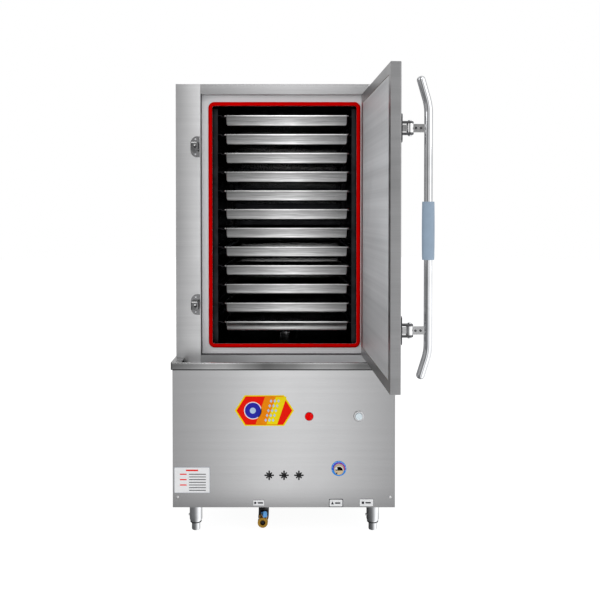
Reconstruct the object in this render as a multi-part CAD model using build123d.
from build123d import *
import os
from math import asin, cos, radians, sin

# Rice steamer cabinet, in millimetres.
# The origin is on the floor, midway between the four feet. +X is to the right from the front, +Y is towards
# the back and +Z is up. Depths into the cabinet are counted from the front of the upper cabinet.

# Upper cabinet, round the cavity that the trays need
front_y = -300.0
sheet = 1.2
fold_radius = 2.0
stile_width = 75.7
top_rail_height = 31.1
lower_rail_height = 22.9
surround_side = 32.3
surround_top = 31.2
surround_bottom = 30.1
surround_flange = 12.0
back_insulation = 52.4

# Cavity mouth and seal
cavity_corner = 7.0
seal_width = 12.0
seal_height = 6.4
seal_rounding = 5.4
seal_gap = 0.3

# Base
base_step = 0.5
base_projection = 75.4
base_bottom = 93.0
deck_level = 509.0
rim_rise = 15.6
rim_height = 22.2
rim_overhang = 4.5
rim_thickness = 8.0
rim_rounding = 3.6
gutter_ear = 25.0
base_flange = 16.0
vent_count = 3
vent_pitch = 44.05
vent_middle = 0.65
vent_z = 188.6
vent_span = 29.0
vent_slot = 4.6
vent_short_span = 23.0
vent_short_slot = 3.0
panel_screw_inset = 14.5
panel_screw_z = 124.0
screw_head = 7.0
screw_head_height = 2.2

# Legs
leg_side_inset = 59.5
leg_front = -7.0
leg_back_inset = 113.0
leg_diameter = 38.0
leg_wall = 1.5
leg_bottom = 24.0
leg_taper = 9.0
leg_end_diameter = 31.0
leg_socket_top = 62.0
foot_diameter = 25.0
foot_stem_diameter = 20.0
foot_ring_height = 2.4
foot_rounding = 3.0
foot_stem_length = 32.0
foot_plate = 60.0
foot_plate_thickness = 3.0
rail_size = 30.0
rail_wall = 2.5
bearer_ledge = 5.0
set_screw_z = 45.0
set_screw_diameter = 7.0
set_screw_length = 3.5
set_screw_rounding = 1.0

# Trays and their racks
tray_count = 12
tray_width = 400.0
tray_length = 600.0
tray_height = 35.4
tray_wall = 1.0
tray_rim = 7.0
tray_rim_height = 4.0
tray_taper = 5.0
tray_corner = 22.0
tray_bottom_rounding = 8.0
tray_pitch = 58.25
tray_head_room = 25.9
tray_floor_room = 66.35
tray_front = 47.0
tray_back_room = 18.2
tray_side_play = 1.7
tray_gap = 0.4
runner_sheet = 1.2
runner_leg = 14.0
runner_inset = 5.0
left_upright_width = 13.0
left_joggle = 13.8
right_upright_width = 12.6
upright_depth = 15.0
upright_end_gap = 4.0

# Door, modelled shut and then turned about its hinges to where it rests
door_gap = 2.05
door_bottom_gap = 3.0
door_thickness = 26.0
door_proud = 4.7
door_sheet = 1.2
door_flange = 28.0
door_pan_gap = 0.6
door_pan_step = 0.4
door_rest_angle = 93.15

# Hinges
hinge_offset = 6.1
hinge_knuckle = 12.0
hinge_pin = 6.0
hinge_play = 0.05
hinge_length = 90.0
hinge_joint_gap = 0.4
hinge_leaf = 2.5
hinge_leaf_width = 38.0
hinge_below = 108.1
hinge_above = 111.2
hinge_cap_height = 3.0
hinge_clearance = 0.6

# Latches, handle bar and grip
latch_below = 154.8
latch_above = 159.1
latch_inset = 11.3
latch_standoff = 21.5
latch_pin = 6.0
latch_head = 9.0
latch_play = 0.05
latch_plate_height = 68.0
latch_plate_width = 24.0
latch_plate = 2.5
ear_thickness = 5.0
ear_radius = 9.0
ear_gap = 0.4
ear_rounding = 3.0
lever_height = 21.6
lever_arm_height = 19.4
lever_thickness = 8.0
lever_boss = 8.0
claw_reach = 17.5
claw_thickness = 5.0
claw_height = 16.0
bar_diameter = 20.5
bar_standoff = 66.1
bar_end_below = 39.0
bar_end_above = 36.2
bar_bend_below = 65.0
bar_bend_above = 70.0
bar_bend_depth = 20.5
bar_bend_radius = 120.0
bar_end_rounding = 9.0
grip_length = 138.0
grip_drop = 2.9
grip_diameter = 30.2
grip_end_diameter = 28.8
keeper_width = 27.5
keeper_height = 63.0
keeper_inset = 2.7
keeper_plate = 2.5
keeper_block_width = 18.0
keeper_block_inset = 6.0
keeper_block_height = 25.0
keeper_lip_reach = 8.0
keeper_lip_standoff = 22.5
keeper_lip = 4.0
keeper_rounding = 3.0

# Controls on the base, counted from its right side and its deck
knob_inset = 166.5
knob_z = 209.0
knob_diameter = 30.0
knob_face_diameter = 27.0
knob_length = 16.0
knob_rounding = 2.5
knob_pointer = 5.0
knob_pointer_reach = 9.0
knob_pointer_depth = 0.8
knob_pointer_angle = 215.0
knob_gap = 0.5
stem_diameter = 8.0
stem_length = 40.0
stem_play = 0.05
dial_diameter = 44.5
dial_thickness = 1.5
gas_valve_diameter = 26.0
gas_valve_length = 46.0
gas_port_diameter = 19.0
gas_port_depth = 30.0
button_inset = 107.5
button_drop = 144.0
button_diameter = 20.0
button_proud = 5.0
button_travel = 3.0
button_play = 0.3
button_length = 16.0
button_rounding = 1.5
bezel_diameter = 31.0
bezel_height = 4.0
bezel_body_diameter = 25.0
bezel_length = 30.0
lamp_inset = 254.5
lamp_drop = 145.0
lamp_diameter = 24.0
lamp_flange = 2.0
lamp_dome = 5.0
lamp_body_diameter = 18.0
lamp_length = 28.0
hole_clearance = 0.5

# Steam generator and gas fittings inside the base
tank_side_room = 99.5
tank_back_room = 140.0
tank_height = 150.0
tank_top_gap = 41.0
tank_front = 60.0
tank_sheet = 2.0
riser_diameter = 76.0
riser_wall = 1.5
riser_depth = 330.0
riser_top_gap = 9.0
riser_cap_diameter = 150.0
riser_cap_drop = 5.0
riser_post_diameter = 8.0
riser_post_height = 9.0
firebox_bottom = 150.0
firebox_sheet = 1.5
firebox_inset = 20.0
firebox_gap = 2.0
strap_width = 24.0
burner_z = 215.0
burner_pipe = 25.0
burner_pipe_length = 330.0
burner_pipe_count = 5
burner_pitch = 62.0
burner_manifold = 32.0
burner_front = 150.0
venturi_diameter = 40.0
venturi_bore = 19.0
venturi_length = 70.0
jet_gap = 6.0
gas_pipe_diameter = 12.7
gas_bend_radius = 30.0
jet_bend_radius = 22.0
gas_inlet_inset = 84.5
inlet_diameter = 20.9
inlet_length = 24.0
inlet_standoff = 2.0
water_inlet_inset = 44.5
water_inlet_drop = 18.0
chamber_size = 70.0
chamber_length = 190.0
chamber_height = 110.0
chamber_wall = 2.0
chamber_rise = 12.0
float_pin = 5.0
float_diameter = 44.0
float_arm_width = 8.0
float_arm_thickness = 3.0
float_reach = 118.0
float_drop_angle = 14.0
flue_width = 240.0
flue_depth = 48.0
flue_top_drop = 27.3
flue_flange = 18.0
flue_inlet_drop = 12.0
flue_inlet_height = 44.0
flue_sump = 12.0

# Drain valve under the base
drain_x = -64.5
drain_z = 32.0
drain_front = -40.0
drain_bore = 16.0
drain_nose = 30.5
drain_ring = 29.5
drain_ring_length = 14.0
drain_bore_depth = 16.0
drain_body_diameter = 26.0
drain_body_length = 46.0
drain_boss_diameter = 16.0
drain_boss_top = 19.0
drain_stem_diameter = 7.0
drain_stem_play = 0.05
drain_pipe_diameter = 32.0
drain_pipe_wall = 4.0
drain_bend_radius = 20.0
drain_pipe_depth = 32.0
drain_tank_rise = 22.0
drain_lever_angle = 14.0
drain_lever_length = 33.0
drain_lever_width = 12.0
drain_lever_thickness = 3.5
drain_lever_rise = 19.0
drain_lever_gap = 0.4
drain_lever_flat = 1.0
drain_stem_head = 2.0

# Sizes that follow from those above
rack_left = left_upright_width + left_joggle
rack_right = right_upright_width + runner_sheet
cavity_width = rack_left + tray_width + 2 * tray_side_play + rack_right
opening_width = cavity_width + 2 * surround_side
cabinet_width = opening_width + 2 * stile_width
base_width = cabinet_width - 2 * base_step
recess_depth = door_thickness - door_proud + seal_height + seal_gap
cavity_depth = tray_front + tray_length + tray_back_room - recess_depth - sheet
cabinet_depth = recess_depth + cavity_depth + back_insulation + 3 * sheet
tank_width = base_width - 2 * tank_side_room
tank_length = cabinet_depth - tank_front - tank_back_room
runner_front = tray_front + runner_inset
runner_length = tray_length - 2 * runner_inset

# Heights that follow
rim_top = deck_level + rim_rise
opening_bottom = deck_level + lower_rail_height
cavity_floor = opening_bottom + surround_bottom
tray_top = cavity_floor + tray_floor_room + (tray_count - 1) * tray_pitch
cavity_roof = tray_top + tray_head_room
opening_top = cavity_roof + surround_top
cabinet_top = opening_top + top_rail_height
hinge_levels = (opening_bottom + hinge_below, opening_top - hinge_above)
latch_levels = (opening_bottom + latch_below, opening_top - latch_above)
bar_bottom = opening_bottom + bar_end_below
bar_top = opening_top - bar_end_above
grip_middle = sum(latch_levels) / 2 - grip_drop
button_z = deck_level - button_drop
lamp_z = deck_level - lamp_drop
tank_bottom = deck_level - tank_top_gap - tank_height
chamber_bottom = tank_bottom + chamber_rise
drain_tank_z = tank_bottom + drain_tank_rise
gas_inlet_z = knob_z
water_inlet_z = tank_bottom - water_inlet_drop
flue_inlet_bottom = tank_bottom - flue_inlet_drop - flue_inlet_height
flue_bottom = flue_inlet_bottom - flue_sump
flue_top = cabinet_top - flue_top_drop

# Places that follow
half_width = cabinet_width / 2
half_base = base_width / 2
half_opening = opening_width / 2
half_cavity = cavity_width / 2
tray_centre_x = (rack_left - rack_right) / 2
leg_x = half_base - leg_side_inset
leg_back = cabinet_depth - leg_back_inset
panel_screw_x = half_base - panel_screw_inset
knob_x = half_base - knob_inset
button_x = half_base - button_inset
lamp_x = half_base - lamp_inset
gas_inlet_x = half_base - gas_inlet_inset
water_inlet_x = half_base - water_inlet_inset
hinge_x = half_opening + hinge_offset
latch_x = latch_inset - half_opening
keeper_right = -half_opening - keeper_inset
rear_y = front_y + cabinet_depth
base_front_y = front_y - base_projection
surround_y = front_y + recess_depth
liner_y = surround_y + sheet
liner_back_y = liner_y + cavity_depth
tray_y = front_y + tray_front
tray_rim_under = tray_top - tray_rim_height
door_face_y = front_y - door_proud
door_back_y = door_face_y + door_thickness
hinge_y = front_y - hinge_knuckle / 2
latch_y = door_face_y - latch_standoff
bar_y = door_face_y - bar_standoff
gas_port_y = base_front_y + sheet + gas_port_depth
rail_bottom = base_bottom + foot_plate_thickness
hinge_axis = Axis((hinge_x, hinge_y, 0), (0, 0, 1))


def span(x0, x1, y0, y1, z0, z1):
    """A block between two corners."""
    middle = Pos((x0 + x1) / 2, (y0 + y1) / 2, (z0 + z1) / 2)
    return middle * Box(abs(x1 - x0), abs(y1 - y0), abs(z1 - z0))


def rod(start, direction, diameter, length):
    """A round rod from a point, along a direction."""
    return extrude(Plane(origin=start, z_dir=direction) * Circle(diameter / 2), length)


def pipe(start, direction, diameter, wall, length):
    """A round tube from a point, along a direction."""
    outside = rod(start, direction, diameter, length)
    return outside - rod(start, direction, diameter - 2 * wall, length)


def folded(points, thickness, side, plane, length, radius=fold_radius):
    """A sheet folded along a run of points on a plane, drawn out to a length along the plane's normal."""
    run = FilletPolyline(*points, radius=radius)
    outline = make_face(run.offset_2d(thickness, side=side))
    return extrude(plane * outline, length)


def both_sides(shape):
    """A shape and its mirror image across the middle of the cabinet."""
    return [shape, mirror(shape, about=Plane.YZ)]


def group(*shapes):
    """Separate solids kept in one node."""
    return Compound(children=[solid for shape in shapes for solid in shape.solids()])


def at_rest(shape):
    """A piece of the shut door, turned about the hinges to where the door rests."""
    return shape.rotate(hinge_axis, door_rest_angle)


# Casing of the upper cabinet


def left_side_panel():
    """Side sheet, folded round into the front stile and the side of the door recess."""
    points = (
        (-half_width, rear_y),
        (-half_width, front_y),
        (-half_opening, front_y),
        (-half_opening, surround_y),
    )
    level = Plane.XY.offset(deck_level)
    return folded(points, sheet, Side.LEFT, level, cabinet_top - deck_level)


def top_panel():
    """Top sheet, folded down into the top rail and the top of the door recess."""
    points = (
        (surround_y, opening_top),
        (front_y, opening_top),
        (front_y, cabinet_top),
        (rear_y - sheet, cabinet_top),
    )
    across = Plane.YZ.offset(-half_opening)
    lipped = folded(points, sheet, Side.RIGHT, across, opening_width)
    inside = half_width - sheet
    flat = span(-inside, inside, front_y + fold_radius, rear_y - sheet, cabinet_top - sheet, cabinet_top)
    side = half_opening + sheet
    for flange in both_sides(span(-side, -half_opening, front_y, surround_y, cabinet_top - sheet, cabinet_top)):
        flat -= flange
    return lipped + flat


def lower_rail():
    """Rail below the door, folded in as the bottom of the door recess."""
    points = ((surround_y, opening_bottom), (front_y, opening_bottom), (front_y, deck_level))
    across = Plane.YZ.offset(-half_opening)
    return folded(points, sheet, Side.LEFT, across, opening_width)


def rear_panel():
    """Flat sheet that closes the back of the upper cabinet."""
    inside = half_width - sheet
    return span(-inside, inside, rear_y - sheet, rear_y, deck_level, cabinet_top)


def mouth(y, depth, grow=0.0):
    """The round-cornered way into the cavity, drawn out backwards from a depth."""
    middle_z = (cavity_floor + cavity_roof) / 2
    height = cavity_roof - cavity_floor
    face = RectangleRounded(cavity_width + 2 * grow, height + 2 * grow, cavity_corner + grow)
    plane = Plane(origin=(0, y, middle_z), x_dir=(1, 0, 0), z_dir=(0, 1, 0))
    return extrude(plane * face, depth)


def door_surround():
    """Flat frame at the bottom of the door recess, from the recess to the cavity."""
    side = half_opening + surround_flange
    low = opening_bottom - surround_flange
    high = opening_top + surround_flange
    return span(-side, side, surround_y, liner_y, low, high) - mouth(surround_y, sheet)


def door_seal():
    """Half-round silicone seal on the surround, round the mouth of the cavity."""
    y = surround_y - seal_height
    ring = mouth(y, seal_height, seal_width) - mouth(y, seal_height)
    crown = ring.edges().filter_by(lambda e: abs(e.center().Y - y) < sheet / 10)
    return fillet(crown, seal_rounding)


def cavity_liner():
    """Walls, roof, floor and back of the cavity, each a sheet."""
    outside = half_cavity + sheet
    walls = both_sides(span(-outside, -half_cavity, liner_y, liner_back_y, cavity_floor - sheet, cavity_roof + sheet))
    roof = span(-half_cavity, half_cavity, liner_y, liner_back_y, cavity_roof, cavity_roof + sheet)
    floor = span(-half_cavity, half_cavity, liner_y, liner_back_y, cavity_floor - sheet, cavity_floor)
    floor -= rod((0, front_y + riser_depth, cavity_floor - sheet), (0, 0, 1), riser_diameter, sheet)
    back = span(-outside, outside, liner_back_y, liner_back_y + sheet, cavity_floor - sheet, cavity_roof + sheet)
    return group(*walls, roof, floor, back)


def insulation():
    """Foam between the casing and the liner."""
    side = half_width - sheet
    outside = half_cavity + sheet
    front = liner_y
    foam = span(-side, side, front, rear_y - sheet, deck_level, cabinet_top - sheet)
    low = cavity_floor - sheet
    foam -= span(-outside, outside, front, liner_back_y + sheet, low, cavity_roof + sheet)
    return foam - rod((0, front_y + riser_depth, deck_level), (0, 0, 1), riser_diameter, low - deck_level)


# Racks and trays


def rack_rods(x0, x1):
    """Front and rear uprights of a rack, between two places across the cavity."""
    low = cavity_floor
    high = cavity_roof - upright_end_gap
    first = front_y + runner_front + upright_depth
    last = first + runner_length - 3 * upright_depth
    return [span(x0, x1, y, y + upright_depth, low, high) for y in (first, last)]


def runners(outline):
    """A runner for each tray, with the same outline at each level."""
    across = Plane(origin=(0, front_y + runner_front, 0), x_dir=(1, 0, 0), z_dir=(0, -1, 0))
    made = []
    for level in range(tray_count):
        ledge = tray_rim_under - tray_gap - level * tray_pitch
        points = [(x, ledge + rise) for x, rise in outline]
        strip = Polyline(*points).offset_2d(runner_sheet, side=Side.RIGHT, kind=Kind.INTERSECTION)
        made.append(extrude(across * make_face(strip), -runner_length))
    return made


def tray_rack_left():
    """Uprights on the left wall, with joggled runners that guide the trays."""
    tray_left = tray_centre_x - tray_width / 2
    guide = tray_left - tray_side_play
    post = -half_cavity + left_upright_width
    ledge_end = tray_left + tray_rim - tray_side_play
    lip = tray_rim_height
    outline = ((post, -runner_leg), (post, lip), (guide, lip), (guide, 0), (ledge_end, 0))
    return group(*rack_rods(-half_cavity, post), *runners(outline))


def tray_rack_right():
    """Uprights on the right wall, with angle runners that guide the trays."""
    tray_right = tray_centre_x + tray_width / 2
    guide = tray_right + tray_side_play
    ledge_end = tray_right - tray_rim + tray_side_play
    lip = 2 * tray_rim_height
    outline = ((ledge_end, 0), (guide, 0), (guide, lip))
    return group(*rack_rods(guide + runner_sheet, half_cavity), *runners(outline))


def tray_shell(inset, corner, rounding):
    """The pressed body of a tray as a solid, set in from its outside by a wall."""
    width = tray_width - 2 * tray_rim - 2 * inset
    length = tray_length - 2 * tray_rim - 2 * inset
    foot = tray_height - inset
    taper = 2 * tray_taper
    low = Pos(0, 0, -foot) * RectangleRounded(width - taper, length - taper, corner)
    high = RectangleRounded(width, length, corner + tray_taper / 2)
    body = loft([low.face(), high.face()])
    return fillet(body.edges().group_by(Axis.Z)[0], rounding)


def tray():
    """A pressed tray with its rim at the origin's level and its front edge on the XZ plane."""
    outside = RectangleRounded(tray_width, tray_length, tray_corner + tray_rim)
    edge = extrude(outside, -tray_rim_height)
    hollow_width = tray_width - 2 * tray_wall
    hollow_length = tray_length - 2 * tray_wall
    under = RectangleRounded(hollow_width, hollow_length, tray_corner + tray_rim - tray_wall)
    edge -= Pos(0, 0, -tray_wall) * extrude(under, -tray_rim_height)
    body = edge + tray_shell(0, tray_corner, tray_bottom_rounding)
    inside = tray_shell(tray_wall, tray_corner - tray_wall, tray_bottom_rounding - tray_wall)
    return Pos(0, tray_length / 2, 0) * (body - inside)


# Base


def base_deck():
    """Sheet under the upper cabinet, with a raised ear at each end of the drip gutter."""
    deck = span(-half_base, half_base, base_front_y, rear_y, deck_level - sheet, deck_level)
    deck -= rod((0, front_y + riser_depth, deck_level - sheet), (0, 0, 1), riser_diameter, sheet)
    behind_rim = base_front_y - rim_overhang + rim_thickness
    ears = both_sides(span(-half_width, gutter_ear - half_width, behind_rim, front_y, deck_level, rim_top))
    return group(deck, *ears)


def base_rim():
    """Rolled rim round the top of the base, left open behind for the flue."""
    low = rim_top - rim_height
    outside = half_base + rim_overhang
    front = base_front_y - rim_overhang
    back = rear_y + rim_overhang
    bar = span(-outside, outside, front, front + rim_thickness, low, rim_top)
    bar = fillet(bar.edges().filter_by(Axis.X) + bar.edges().group_by(Axis.Y)[0].filter_by(Axis.Z), rim_rounding)
    bar -= span(-half_base - sheet, half_base + sheet, front + rim_overhang - sheet, rear_y, low, deck_level)
    sides = both_sides(span(-outside, -half_width, front + rim_thickness, rear_y, low, rim_top))
    rears = both_sides(span(-outside, -flue_width / 2, rear_y, back, low, rim_top))
    return group(bar, *sides, *rears)


def vent_star(x):
    """Eight-armed star that is cut through the front panel."""
    origin = (x, base_front_y - sheet, vent_z)
    plane = Plane(origin=origin, x_dir=(1, 0, 0), z_dir=(0, 1, 0))
    arms = [plane * Rot(0, 0, angle) * SlotOverall(vent_span, vent_slot) for angle in (0, 90)]
    arms += [plane * Rot(0, 0, angle) * SlotOverall(vent_short_span, vent_short_slot) for angle in (45, 135)]
    star = extrude(arms[0], 3 * sheet)
    for arm in arms[1:]:
        star += extrude(arm, 3 * sheet)
    return star


def base_front_panel():
    """Service panel, folded in at its bottom and sides, with its vents and the holes for the controls."""
    top = deck_level - sheet
    inside = half_base - sheet
    panel = span(-half_base, half_base, base_front_y, base_front_y + sheet, base_bottom, top)
    flange_end = base_front_y + base_flange
    panel += span(-inside, inside, base_front_y, flange_end, base_bottom, base_bottom + sheet)
    for place in range(vent_count):
        panel -= vent_star(vent_middle + (place - (vent_count - 1) / 2) * vent_pitch)
    holes = (
        (knob_x, knob_z, stem_diameter + 2 * hole_clearance),
        (button_x, button_z, bezel_body_diameter),
        (lamp_x, lamp_z, lamp_body_diameter),
    )
    for x, z, diameter in holes:
        panel -= rod((x, base_front_y - sheet, z), (0, 1, 0), diameter, 3 * sheet)
    return panel


def base_side_panels():
    """Left and right sheets of the base, folded in along the bottom."""
    points = ((-half_base, deck_level - sheet), (-half_base, base_bottom), (-half_base + base_flange, base_bottom))
    front = base_front_y + sheet
    across = Plane(origin=(0, front, 0), x_dir=(1, 0, 0), z_dir=(0, -1, 0))
    left = folded(points, sheet, Side.LEFT, across, -(rear_y - sheet - front))
    left -= span(-half_base, -half_base + 2 * base_flange, front, base_front_y + base_flange, base_bottom, base_bottom + sheet)
    return group(*both_sides(left))


def base_rear_panel():
    """Rear sheet of the base, with the flue inlet and the ways through for gas and water."""
    panel = span(-half_base, half_base, rear_y - sheet, rear_y, base_bottom, deck_level - sheet)
    wide = flue_width - 2 * flue_flange
    top = flue_inlet_bottom + flue_inlet_height
    panel -= span(-wide / 2, wide / 2, rear_y - sheet, rear_y, flue_inlet_bottom, top)
    for x, z in ((gas_inlet_x, gas_inlet_z), (water_inlet_x, water_inlet_z)):
        panel -= rod((x, rear_y - sheet, z), (0, 1, 0), gas_pipe_diameter, sheet)
    return panel


def leg_places():
    """The four places of the legs."""
    depths = (front_y + leg_front, front_y + leg_back)
    return [(side * leg_x, y) for y in depths for side in (-1, 1)]


def base_frame():
    """Front and rear channels with the plates of the legs, and two bearers across them for the firebox."""
    bearer_side = tank_width / 2 - firebox_inset
    bearer = span(
        bearer_side - rail_size + bearer_ledge,
        bearer_side + bearer_ledge,
        front_y + leg_front,
        front_y + leg_back,
        rail_bottom + rail_size,
        firebox_bottom,
    )
    made = both_sides(bearer)
    length = 2 * (half_base - sheet)
    for depth in (leg_front, leg_back):
        y = front_y + depth
        low = rail_bottom
        points = ((-rail_size / 2, low + rail_size), (-rail_size / 2, low), (rail_size / 2, low))
        points += ((rail_size / 2, low + rail_size),)
        across = Plane(origin=(-length / 2, y, 0), x_dir=(0, 1, 0), z_dir=(1, 0, 0))
        rail = folded(points, rail_wall, Side.LEFT, across, length, radius=2 * rail_wall)
        half = foot_plate / 2
        for x in (-leg_x, leg_x):
            rail += span(x - half, x + half, y - half, y + half, base_bottom, low)
        made.append(rail)
    return group(*made)


def leg_tubes():
    """Four leg tubes, each drawn in at its lower end round a socket for the foot's stem."""
    radius = leg_diameter / 2
    end = leg_end_diameter / 2
    bore = foot_stem_diameter / 2
    inside = radius - leg_wall
    outline = (
        (0, base_bottom),
        (radius, base_bottom),
        (radius, leg_bottom + leg_taper),
        (end, leg_bottom),
        (bore, leg_bottom),
        (bore, leg_socket_top),
        (inside, leg_socket_top),
        (inside, base_bottom - leg_wall),
        (0, base_bottom - leg_wall),
    )
    tube = revolve(Plane.XZ * make_face(Polyline(*outline, close=True)), Axis.Z)
    return group(*[Pos(x, y, 0) * tube for x, y in leg_places()])


def levelling_feet():
    """Four feet with a stem inside the leg and a ring under it."""
    foot = rod((0, 0, 0), (0, 0, 1), foot_diameter, leg_bottom - foot_ring_height)
    foot = fillet(foot.edges().group_by(Axis.Z)[0], foot_rounding)
    ring_bottom = leg_bottom - foot_ring_height
    foot += rod((0, 0, ring_bottom), (0, 0, 1), leg_end_diameter - 2 * hole_clearance, foot_ring_height)
    foot += rod((0, 0, leg_bottom), (0, 0, 1), foot_stem_diameter, foot_stem_length)
    return group(*[Pos(x, y, 0) * foot for x, y in leg_places()])


def fasteners():
    """Screws of the front panel and of the legs."""
    head = rod((0, 0, 0), (0, -1, 0), screw_head, screw_head_height)
    head = fillet(head.edges().group_by(Axis.Y)[0], screw_head_height / 2)
    made = [Pos(side * panel_screw_x, base_front_y, panel_screw_z) * head for side in (-1, 1)]
    seat = leg_diameter / 2 - hole_clearance
    for x, y in leg_places():
        grub = rod((x - seat, y, set_screw_z), (-1, 0, 0), set_screw_diameter, set_screw_length)
        grub = fillet(grub.edges().group_by(Axis.X)[0], set_screw_rounding)
        made.append(grub - rod((x, y, 0), (0, 0, 1), leg_diameter, base_bottom))
    return group(*made)


# Steam generator


def water_tank():
    """Closed tank of six welded sheets, with a way up into the cavity."""
    y0 = front_y + tank_front
    y1 = y0 + tank_length
    half = tank_width / 2
    top = tank_bottom + tank_height
    t = tank_sheet
    ends = [span(-half, half, y, y + t, tank_bottom, top) for y in (y0, y1 - t)]
    bore = drain_pipe_diameter - 2 * drain_pipe_wall
    ends[0] -= rod((drain_x, y0, drain_tank_z), (0, 1, 0), bore, t)
    sides = both_sides(span(-half, t - half, y0 + t, y1 - t, tank_bottom, top))
    floor, roof = [span(t - half, half - t, y0 + t, y1 - t, z, z + t) for z in (tank_bottom, top - t)]
    roof -= rod((0, front_y + riser_depth, top - t), (0, 0, 1), riser_diameter - 2 * riser_wall, t)
    return group(*ends, *sides, floor, roof)


def steam_riser():
    """Pipe from the tank into the cavity, under a cap on three posts."""
    x, y = 0, front_y + riser_depth
    start = tank_bottom + tank_height
    length = cavity_floor + riser_top_gap - start
    riser = pipe((x, y, start), (0, 0, 1), riser_diameter, riser_wall, length)
    top = start + length
    for step in range(3):
        angle = radians(120 * step)
        reach = riser_diameter / 2 - riser_wall / 2
        place = (x + reach * cos(angle), y + reach * sin(angle), top - riser_wall)
        riser += rod(place, (0, 0, 1), riser_post_diameter, riser_post_height + riser_wall)
    cap_foot = Plane.XY.offset(top + riser_post_height) * Pos(x, y, 0) * Circle(riser_cap_diameter / 2)
    cap_head = Plane.XY.offset(top + riser_post_height + riser_cap_drop) * Pos(x, y, 0) * Circle(riser_cap_diameter / 3)
    return riser + loft([cap_foot.face(), cap_head.face()])


def firebox():
    """Four sheets round the burner, open above and below, with two straps under its pipes."""
    x = tank_width / 2 - firebox_inset
    y0 = front_y + tank_front + firebox_inset
    y1 = y0 + tank_length - 2 * firebox_inset
    t = firebox_sheet
    low, high = firebox_bottom, tank_bottom
    ends = [span(-x, x, y, y + t, low, high) for y in (y0, y1 - t)]
    way = venturi_diameter + 2 * firebox_gap
    ends[0] -= rod((0, y0 - t, burner_z), (0, 1, 0), way, 3 * t)
    wide = flue_width / 2 - flue_flange
    ends[1] -= span(-wide, wide, y1 - t, y1, flue_inlet_bottom, flue_inlet_bottom + flue_inlet_height)
    sides = both_sides(span(-x, -x + t, y0 + t, y1 - t, low, high))
    strap_top = burner_z - burner_pipe / 2
    strap_y = [front_y + burner_front + share * burner_pipe_length for share in (0.15, 0.85)]
    straps = [span(t - x, x - t, y, y + strap_width, strap_top - strap_width / 4, strap_top) for y in strap_y]
    return group(*ends, *sides, *straps)


def burner():
    """Cast burner: a bell-mouthed mixing tube, a manifold and a row of pipes."""
    y = front_y + burner_front
    reach = (burner_pipe_count - 1) / 2 * burner_pitch
    end = reach + burner_pipe
    made = rod((-end, y, burner_z), (1, 0, 0), burner_manifold, 2 * end)
    for step in range(burner_pipe_count):
        x = -reach + step * burner_pitch
        made += rod((x, y, burner_z), (0, 1, 0), burner_pipe, burner_pipe_length)
    bore = venturi_bore / 2
    bell_end = venturi_length - venturi_diameter / 2
    throat_depth = burner_manifold / 4
    outline = (
        (0, 0),
        (burner_pipe / 2, 0),
        (burner_pipe / 2, bell_end),
        (venturi_diameter / 2, venturi_length),
        (venturi_diameter / 2 - firebox_gap, venturi_length),
        (bore, bell_end),
        (bore, throat_depth),
        (0, throat_depth),
    )
    tube = revolve(Plane.XZ * make_face(Polyline(*outline, close=True)), Axis.Z)
    return made + Pos(0, y, burner_z) * Rot(90, 0, 0) * tube


def gas_valve():
    """Gas cock behind the front panel, bored for the stem of its knob."""
    start = base_front_y + sheet
    body = rod((knob_x, start, knob_z), (0, 1, 0), gas_valve_diameter, gas_valve_length)
    body += rod((knob_x, gas_port_y, knob_z), (1, 0, 0), gas_port_diameter, gas_valve_diameter)
    bore = stem_diameter + 2 * stem_play
    return body - rod((knob_x, start, knob_z), (0, 1, 0), bore, stem_length - dial_thickness - sheet)


def bent_rod(points, diameter, radius):
    """A round rod bent along a run of points."""
    run = FilletPolyline(*points, radius=radius)
    start = Plane(origin=run @ 0, z_dir=run % 0)
    return sweep(start * Circle(diameter / 2), path=run)


def supply_pipes():
    """Gas from behind to the cock, gas from the cock to the burner's jet, and water to the float chamber."""
    start = rear_y + inlet_standoff
    port_x = knob_x + gas_valve_diameter
    supply_points = ((gas_inlet_x, start, gas_inlet_z), (gas_inlet_x, gas_port_y, gas_inlet_z), (port_x, gas_port_y, knob_z))
    supply = bent_rod(supply_points, gas_pipe_diameter, gas_bend_radius)
    supply += rod((gas_inlet_x, start, gas_inlet_z), (0, 1, 0), inlet_diameter, inlet_length)
    back = base_front_y + sheet + gas_valve_length
    jet_y = front_y + burner_front - venturi_length - jet_gap
    middle_y = (back + jet_y) / 2
    feed_points = ((knob_x, back, knob_z), (knob_x, middle_y, knob_z), (0, middle_y, burner_z), (0, jet_y, burner_z))
    feed = bent_rod(feed_points, gas_pipe_diameter, jet_bend_radius)
    x, y = chamber_place()
    end_y = y + chamber_length
    middle_x = x + chamber_size / 2
    level = chamber_bottom + chamber_height / 2
    turn_y = (start + end_y) / 2
    water_points = (
        (water_inlet_x, start, water_inlet_z),
        (water_inlet_x, turn_y, water_inlet_z),
        (middle_x, turn_y - 2 * gas_bend_radius, level),
        (middle_x, end_y, level),
    )
    water = bent_rod(water_points, gas_pipe_diameter, gas_bend_radius)
    water += rod((water_inlet_x, start, water_inlet_z), (0, 1, 0), inlet_diameter, inlet_length)
    return group(supply, feed, water)


def chamber_place():
    """Low front left corner of the float chamber."""
    return half_base - sheet - base_flange - chamber_size, front_y + 2 * tank_front


def float_pin_place():
    """Middle of the pin that the float arm swings on."""
    x, y = chamber_place()
    return x + chamber_size / 2, y + chamber_length - 4 * float_pin, chamber_bottom + chamber_height * 0.72


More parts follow.
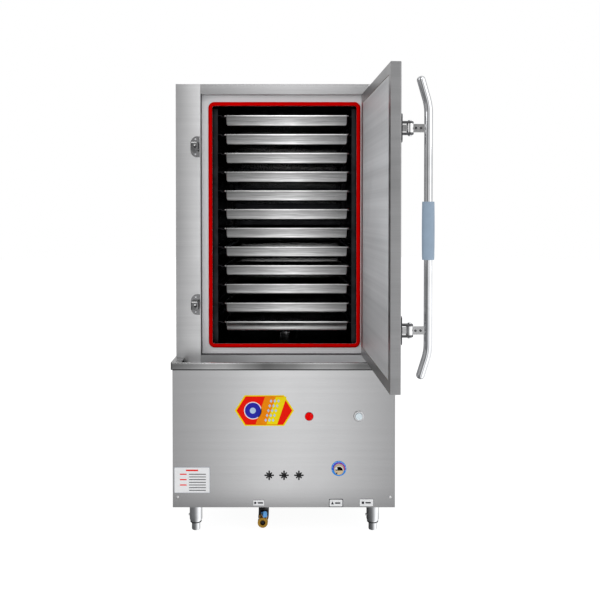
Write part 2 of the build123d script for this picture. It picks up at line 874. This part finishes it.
def float_chamber():
    """Open chamber beside the tank, with the arm's pin across it and a pipe to the tank."""
    x, y = chamber_place()
    z = chamber_bottom
    w = chamber_wall
    box = span(x, x + chamber_size, y, y + chamber_length, z, z + chamber_height)
    inner = span(x + w, x + chamber_size - w, y + w, y + chamber_length - w, z + w, z + chamber_height)
    box -= inner
    pin = float_pin_place()
    box += rod((x + w, pin[1], pin[2]), (1, 0, 0), float_pin, chamber_size - 2 * w)
    gap = x - tank_width / 2
    return box + rod((x, y + chamber_length / 2, z + 4 * float_pin), (-1, 0, 0), inlet_diameter, gap)


def float_arm():
    """Arm on the chamber's pin, with the float ball at its end."""
    x, y, z = float_pin_place()
    bore = float_pin + 2 * stem_play
    eye = rod((x - float_arm_width / 2, y, z), (1, 0, 0), 2 * float_pin, float_arm_width)
    half = float_arm_thickness / 2
    arm = span(x - float_arm_width / 2, x + float_arm_width / 2, y - float_reach, y, z - half, z + half)
    ball = Pos(x, y - float_reach, z) * Sphere(float_diameter / 2)
    made = eye + arm
    made += ball
    made -= rod((x - float_arm_width, y, z), (1, 0, 0), bore, 2 * float_arm_width)
    return made.rotate(Axis((x, y, z), (1, 0, 0)), float_drop_angle)


def flue_duct():
    """Hat-shaped duct up the back, open at its top, with its throat from the firebox."""
    half = flue_width / 2
    inner = half - flue_flange
    y = rear_y
    back = y + flue_depth
    points = ((-half, y), (-inner, y), (-inner, back), (inner, back), (inner, y), (half, y))
    level = Plane.XY.offset(flue_bottom)
    duct = folded(points, sheet, Side.LEFT, level, flue_top - flue_bottom)
    duct += span(-inner, inner, y, back + sheet, flue_bottom, flue_bottom + sheet)
    start = front_y + tank_front + tank_length - firebox_inset - firebox_sheet
    low = flue_inlet_bottom
    high = low + flue_inlet_height
    throat = span(-inner, inner, start, y, low, high)
    throat -= span(-inner + sheet, inner - sheet, start, y, low + sheet, high - sheet)
    return group(duct, throat)


# Controls


def dial_ring():
    """Flat dial round the stem of the gas knob."""
    ring = rod((knob_x, base_front_y, knob_z), (0, -1, 0), dial_diameter, dial_thickness)
    return ring - rod((knob_x, base_front_y, knob_z), (0, -1, 0), stem_diameter + 2 * hole_clearance, dial_thickness)


def gas_knob():
    """Round knob, drawn in towards its face, with a dimple for its pointer, on its stem."""
    y = base_front_y - dial_thickness - knob_gap
    radius = knob_diameter / 2
    face = knob_face_diameter / 2
    outline = Polyline((0, 0), (radius, 0), (face, knob_length), (0, knob_length), close=True)
    knob = revolve(Plane.XZ * make_face(outline), Axis.Z)
    knob = fillet(knob.edges().group_by(Axis.Z)[-1], knob_rounding)
    turn = radians(knob_pointer_angle)
    spot = (knob_pointer_reach * cos(turn), -knob_pointer_reach * sin(turn), knob_length)
    knob -= rod(spot, (0, 0, -1), knob_pointer, knob_pointer_depth)
    knob += rod((0, 0, 0), (0, 0, -1), stem_diameter, stem_length)
    return Pos(knob_x, y, knob_z) * Rot(90, 0, 0) * knob


def button_bezel():
    """Bezel and body of the push button, bored for its cap."""
    y = base_front_y
    bezel = rod((button_x, y, button_z), (0, -1, 0), bezel_diameter, bezel_height)
    bezel = chamfer(bezel.edges().group_by(Axis.Y)[0], bezel_height / 3)
    bezel += rod((button_x, y, button_z), (0, 1, 0), bezel_body_diameter, bezel_length)
    bore = button_diameter + 2 * button_play
    depth = button_length + button_travel
    start = y - bezel_height
    return bezel - rod((button_x, start, button_z), (0, 1, 0), bore, depth)


def push_button():
    """Sprung cap of the push button."""
    start = base_front_y - bezel_height - button_proud
    cap = rod((button_x, start, button_z), (0, 1, 0), button_diameter, button_length + button_proud - button_play)
    return fillet(cap.edges().group_by(Axis.Y)[0], button_rounding)


def pilot_lamp():
    """Lamp with a domed lens and a threaded body through the panel."""
    radius = lamp_diameter / 2
    body = lamp_body_diameter / 2
    dome_radius = (radius**2 + lamp_dome**2) / (2 * lamp_dome)
    top = lamp_flange + lamp_dome
    half_turn = asin(radius / dome_radius) / 2
    middle = (dome_radius * sin(half_turn), top - dome_radius * (1 - cos(half_turn)))
    dome = ThreePointArc((radius, lamp_flange), middle, (0, top))
    back = -lamp_length
    rest = Polyline((0, top), (0, back), (body, back), (body, 0), (radius, 0), (radius, lamp_flange))
    lamp = revolve(Plane.XZ * make_face(dome + rest), Axis.Z)
    return Pos(lamp_x, base_front_y, lamp_z) * Rot(90, 0, 0) * lamp


# Drain


def drain_valve():
    """Brass valve under the base, with its outlet to the front."""
    y = front_y + drain_front
    body = rod((drain_x, y, drain_z), (0, 1, 0), drain_body_diameter, drain_body_length)
    body += rod((drain_x, y, drain_z), (0, 1, 0), drain_nose, drain_ring_length)
    back_plane = Plane(origin=(drain_x, y + drain_body_length, drain_z), z_dir=(0, -1, 0))
    body += extrude(back_plane * RegularPolygon(drain_ring / 2, 6), drain_ring_length)
    middle = y + drain_body_length / 2
    boss_top = drain_z + drain_boss_top
    body += rod((drain_x, middle, drain_z), (0, 0, 1), drain_boss_diameter, drain_boss_top)
    body -= rod((drain_x, y, drain_z), (0, 1, 0), drain_bore, drain_bore_depth)
    body -= rod((drain_x, y + drain_body_length, drain_z), (0, -1, 0), drain_bore, drain_ring_length)
    stem = drain_stem_diameter + 2 * drain_stem_play
    return body - rod((drain_x, middle, boss_top), (0, 0, -1), stem, drain_boss_top / 2)


def drain_pipe():
    """Black pipe from the front of the tank, down to the back of the drain valve."""
    x = drain_x
    y = front_y + drain_front + drain_body_length
    down = front_y + drain_pipe_depth
    points = ((x, front_y + tank_front, drain_tank_z), (x, down, drain_tank_z), (x, down, drain_z), (x, y, drain_z))
    run = FilletPolyline(*points, radius=drain_bend_radius)
    start = Plane(origin=run @ 0, z_dir=run % 0)
    radius = drain_pipe_diameter / 2
    section = Circle(radius) - Circle(radius - drain_pipe_wall)
    return sweep(start * section, path=run)


def drain_handle():
    """Lever of the drain valve, turned up at its end, on its stem."""
    middle = front_y + drain_front + drain_body_length / 2
    low = drain_z + drain_boss_top + drain_lever_gap
    half = drain_lever_width / 2
    t = drain_lever_thickness
    end = middle - drain_lever_length
    points = ((middle + half, low), (end, low), (end, low + drain_lever_rise))
    across = Plane(origin=(drain_x - half, 0, 0), x_dir=(0, 1, 0), z_dir=(1, 0, 0))
    lever = folded(points, t, Side.RIGHT, across, drain_lever_width)
    lever = fillet(lever.edges().filter_by(Axis.Y).group_by(Axis.Z)[-1], half - drain_lever_flat / 2)
    stem_bottom = drain_z + drain_boss_top / 2 + drain_lever_gap
    stem_top = low + t + drain_stem_head
    lever += rod((drain_x, middle, stem_bottom), (0, 0, 1), drain_stem_diameter, stem_top - stem_bottom)
    turn = Axis((drain_x, middle, 0), (0, 0, 1))
    return lever.rotate(turn, drain_lever_angle)


# Door, shut


def door_slab(inset, y0, y1):
    """A block the size of the door, less an inset all round, between two depths."""
    side = half_opening - door_gap - inset
    low = opening_bottom + door_bottom_gap + inset
    high = opening_top - door_bottom_gap - inset
    return span(-side, side, y0, y1, low, high)


def door_outer_skin():
    """Outer face and edges of the door, folded in behind as a flange."""
    t = door_sheet
    skin = door_slab(0, door_face_y, door_back_y)
    outer = skin.edges().filter_by(lambda e: abs(e.center().Y - door_face_y) < t / 10)
    skin = fillet(outer, fold_radius)
    skin -= door_slab(t, door_face_y + t, door_back_y - t)
    return skin - door_slab(door_flange, door_back_y - t, door_back_y)


def door_inner_pan():
    """Sheet that closes the back of the door inside the flange."""
    t = door_sheet
    return door_slab(door_flange + door_pan_gap, door_back_y - t - door_pan_step, door_back_y - door_pan_step)


def door_core():
    """Foam inside the door."""
    t = door_sheet
    core = door_slab(t, door_face_y + t, door_back_y - t)
    return core - door_slab(door_flange + door_pan_gap, door_back_y - t - door_pan_step, door_back_y)


def hinge_knuckles(z, first, last):
    """Lengths of knuckle of one hinge, bored for the pin, counted in thirds from below."""
    third = hinge_length / 3
    low = z - hinge_length / 2
    bore = hinge_pin + 2 * hinge_play
    made = []
    for place in range(first, last + 1, 2):
        start = low + place * third + (hinge_joint_gap if place else 0)
        end = low + (place + 1) * third - (hinge_joint_gap if place < 2 else 0)
        knuckle = rod((hinge_x, hinge_y, start), (0, 0, 1), hinge_knuckle, end - start)
        made.append(knuckle - rod((hinge_x, hinge_y, start), (0, 0, 1), bore, end - start))
    return made


def hinge_frame_leaves():
    """Leaves on the right stile, with the upper and lower knuckles."""
    made = []
    clear = hinge_knuckle / 2 + hinge_clearance
    for z in hinge_levels:
        half = hinge_length / 2
        end = hinge_x + hinge_leaf_width
        leaf = span(hinge_x, end, front_y - hinge_leaf, front_y, z - half, z + half)
        leaf += hinge_knuckles(z, 0, 2)[0]
        leaf += hinge_knuckles(z, 0, 2)[1]
        third = hinge_length / 6
        leaf -= span(hinge_x - clear, hinge_x + clear, hinge_y - clear, front_y, z - third, z + third)
        leaf -= rod((hinge_x, hinge_y, z - half), (0, 0, 1), hinge_pin + 2 * hinge_play, hinge_length)
        made.append(leaf)
    return group(*made)


def hinge_door_leaves():
    """Leaves on the face of the door, with the middle knuckle."""
    made = []
    clear = hinge_knuckle / 2 + hinge_clearance
    for z in hinge_levels:
        half = hinge_length / 2
        third = hinge_length / 6
        start = hinge_x - hinge_leaf_width - hinge_knuckle
        leaf = span(start, hinge_x, door_face_y - hinge_leaf, door_face_y, z - half, z + half)
        leaf -= span(hinge_x - clear, hinge_x, door_face_y - hinge_leaf, door_face_y, z - half, z - third + hinge_joint_gap)
        leaf -= span(hinge_x - clear, hinge_x, door_face_y - hinge_leaf, door_face_y, z + third - hinge_joint_gap, z + half)
        leaf += hinge_knuckles(z, 1, 1)[0]
        leaf -= rod((hinge_x, hinge_y, z - half), (0, 0, 1), hinge_pin + 2 * hinge_play, hinge_length)
        made.append(leaf)
    return group(*made)


# Latches and handle, on the shut door with the handle standing off it


def latch_housings():
    """Base plates on the door, each with two ears for the lever's pin."""
    made = []
    ear_low = lever_height / 2 + ear_gap
    for z in latch_levels:
        right = latch_x - ear_radius + latch_plate_width
        half = latch_plate_height / 2
        plate = span(latch_x - ear_radius, right, door_face_y - latch_plate, door_face_y, z - half, z + half)
        plate = fillet(plate.edges().filter_by(Axis.Y), latch_plate_width / 4)
        for start in (z + ear_low, z - ear_low - ear_thickness):
            ear = span(
                latch_x - ear_radius, latch_x + ear_radius, latch_y, door_face_y - latch_plate, start, start + ear_thickness
            )
            ear += rod((latch_x, latch_y, start), (0, 0, 1), 2 * ear_radius, ear_thickness)
            outer = ear.edges().group_by(Axis.Z)[-1 if start > z else 0]
            free = outer.filter_by(lambda e: e.center().Y < door_face_y - 2 * latch_plate)
            plate += fillet(free, ear_rounding)
        bore = latch_pin + 2 * latch_play
        plate -= rod((latch_x, latch_y, z - half), (0, 0, 1), bore, 2 * half)
        made.append(plate)
    return group(*made)


def pivot_pins():
    """Pins of the hinges and of the levers, with a head on each end."""
    hinge_reach = hinge_length / 2
    latch_reach = lever_height / 2 + ear_gap + ear_thickness
    places = [(hinge_x, hinge_y, z, hinge_reach, hinge_pin, hinge_knuckle, hinge_cap_height) for z in hinge_levels]
    places += [(latch_x, latch_y, z, latch_reach, latch_pin, latch_head, latch_plate) for z in latch_levels]
    made = []
    for x, y, z, reach, diameter, head, head_height in places:
        pin = rod((x, y, z - reach), (0, 0, 1), diameter, 2 * reach)
        pin += rod((x, y, z + reach), (0, 0, 1), head, head_height)
        pin += rod((x, y, z - reach), (0, 0, -1), head, head_height)
        made.append(pin)
    return group(*made)


def latch_levers():
    """Levers that carry the bar, each with a claw on its other side."""
    made = []
    half = lever_height / 2
    for z in latch_levels:
        arm = lever_arm_height / 2
        lever = span(latch_x - lever_thickness / 2, latch_x + lever_thickness / 2, bar_y, latch_y, z - arm, z + arm)
        lever += rod((latch_x, latch_y, z - half), (0, 0, 1), 2 * lever_boss, lever_height)
        claw_half = claw_thickness / 2
        claw_low = z - claw_height / 2
        lever += span(latch_x - claw_half, latch_x + claw_half, latch_y, latch_y + claw_reach, claw_low, claw_low + claw_height)
        lever -= rod((latch_x, latch_y, z - half), (0, 0, 1), latch_pin + 2 * latch_play, lever_height)
        lever -= rod((latch_x, bar_y, z - half), (0, 0, 1), bar_diameter, lever_height)
        outer = lever.solids().sort_by(Axis.Y)[-1]
        made.append(outer)
    return group(*made)


def handle_bar():
    """Long round bar, bent towards the door at both ends."""
    tip_y = bar_y + bar_bend_depth
    points = (
        (latch_x, tip_y, bar_bottom),
        (latch_x, bar_y, bar_bottom + bar_bend_below),
        (latch_x, bar_y, bar_top - bar_bend_above),
        (latch_x, tip_y, bar_top),
    )
    bar = bent_rod(points, bar_diameter, bar_bend_radius)
    ends = bar.edges().group_by(Axis.Z)[0] + bar.edges().group_by(Axis.Z)[-1]
    return fillet(ends, bar_end_rounding)


def handle_grip():
    """Barrel-shaped sleeve on the bar."""
    bore = bar_diameter / 2
    end = grip_end_diameter / 2
    low = grip_middle - grip_length / 2
    high = low + grip_length
    belly = ThreePointArc((end, low), (grip_diameter / 2, grip_middle), (end, high))
    rest = Polyline((end, high), (bore, high), (bore, low), (end, low))
    sleeve = revolve(Plane.XZ * make_face(belly + rest), Axis.Z)
    return Pos(latch_x, bar_y, 0) * sleeve


def latch_keepers():
    """Plates on the left stile, each with a block whose lip the claw passes behind."""
    made = []
    left = keeper_right - keeper_width
    block_right = keeper_right - keeper_block_inset
    block_left = block_right - keeper_block_width
    lip_right = block_right + keeper_lip_reach
    lip_y = door_face_y - keeper_lip_standoff
    for z in latch_levels:
        half = keeper_height / 2
        plate = span(left, keeper_right, front_y - keeper_plate, front_y, z - half, z + half)
        rounded = plate.edges().filter_by(Axis.Y).group_by(Axis.X)[0]
        plate = fillet(rounded, keeper_width * 0.72)
        low = z - keeper_block_height / 2
        high = low + keeper_block_height
        block = span(block_left, block_right, lip_y - keeper_lip, front_y, low, high)
        block += span(block_right, lip_right, lip_y - keeper_lip, lip_y, low, high)
        block = fillet(block.edges().group_by(Axis.Y)[0].filter_by(Axis.Z).group_by(Axis.X)[0], keeper_rounding)
        made.append(plate + block)
    return group(*made)


nodes = {
    "left_side_panel": left_side_panel(),
    "right_side_panel": mirror(left_side_panel(), about=Plane.YZ),
    "top_panel": top_panel(),
    "lower_rail": lower_rail(),
    "rear_panel": rear_panel(),
    "door_surround": door_surround(),
    "door_seal": door_seal(),
    "cavity_liner": cavity_liner(),
    "insulation": insulation(),
    "tray_rack_left": tray_rack_left(),
    "tray_rack_right": tray_rack_right(),
    "latch_keepers": latch_keepers(),
    "hinge_frame_leaves": hinge_frame_leaves(),
    "base_deck": base_deck(),
    "base_rim": base_rim(),
    "base_front_panel": base_front_panel(),
    "base_side_panels": base_side_panels(),
    "base_rear_panel": base_rear_panel(),
    "base_frame": base_frame(),
    "leg_tubes": leg_tubes(),
    "levelling_feet": levelling_feet(),
    "fasteners": fasteners(),
    "water_tank": water_tank(),
    "steam_riser": steam_riser(),
    "firebox": firebox(),
    "burner": burner(),
    "gas_valve": gas_valve(),
    "supply_pipes": supply_pipes(),
    "float_chamber": float_chamber(),
    "flue_duct": flue_duct(),
    "dial_ring": dial_ring(),
    "button_bezel": button_bezel(),
    "pilot_lamp": pilot_lamp(),
    "drain_valve": drain_valve(),
    "drain_pipe": drain_pipe(),
    "gas_knob": gas_knob(),
    "push_button": push_button(),
    "drain_handle": drain_handle(),
    "float_arm": float_arm(),
    "door_outer_skin": at_rest(door_outer_skin()),
    "door_inner_pan": at_rest(door_inner_pan()),
    "door_core": at_rest(door_core()),
    "hinge_door_leaves": at_rest(hinge_door_leaves()),
    "pivot_pins": at_rest(pivot_pins()),
    "latch_housings": at_rest(latch_housings()),
    "latch_levers": at_rest(latch_levers()),
    "handle_bar": at_rest(handle_bar()),
    "handle_grip": at_rest(handle_grip()),
}

one_tray = tray()
for level in range(tray_count):
    place = Pos(tray_centre_x, tray_y, tray_top - level * tray_pitch)
    nodes[f"tray_{level + 1:02d}"] = place * one_tray

os.makedirs("parts", exist_ok=True)
for name, shape in nodes.items():
    export_step(shape, f"parts/{name}.step")
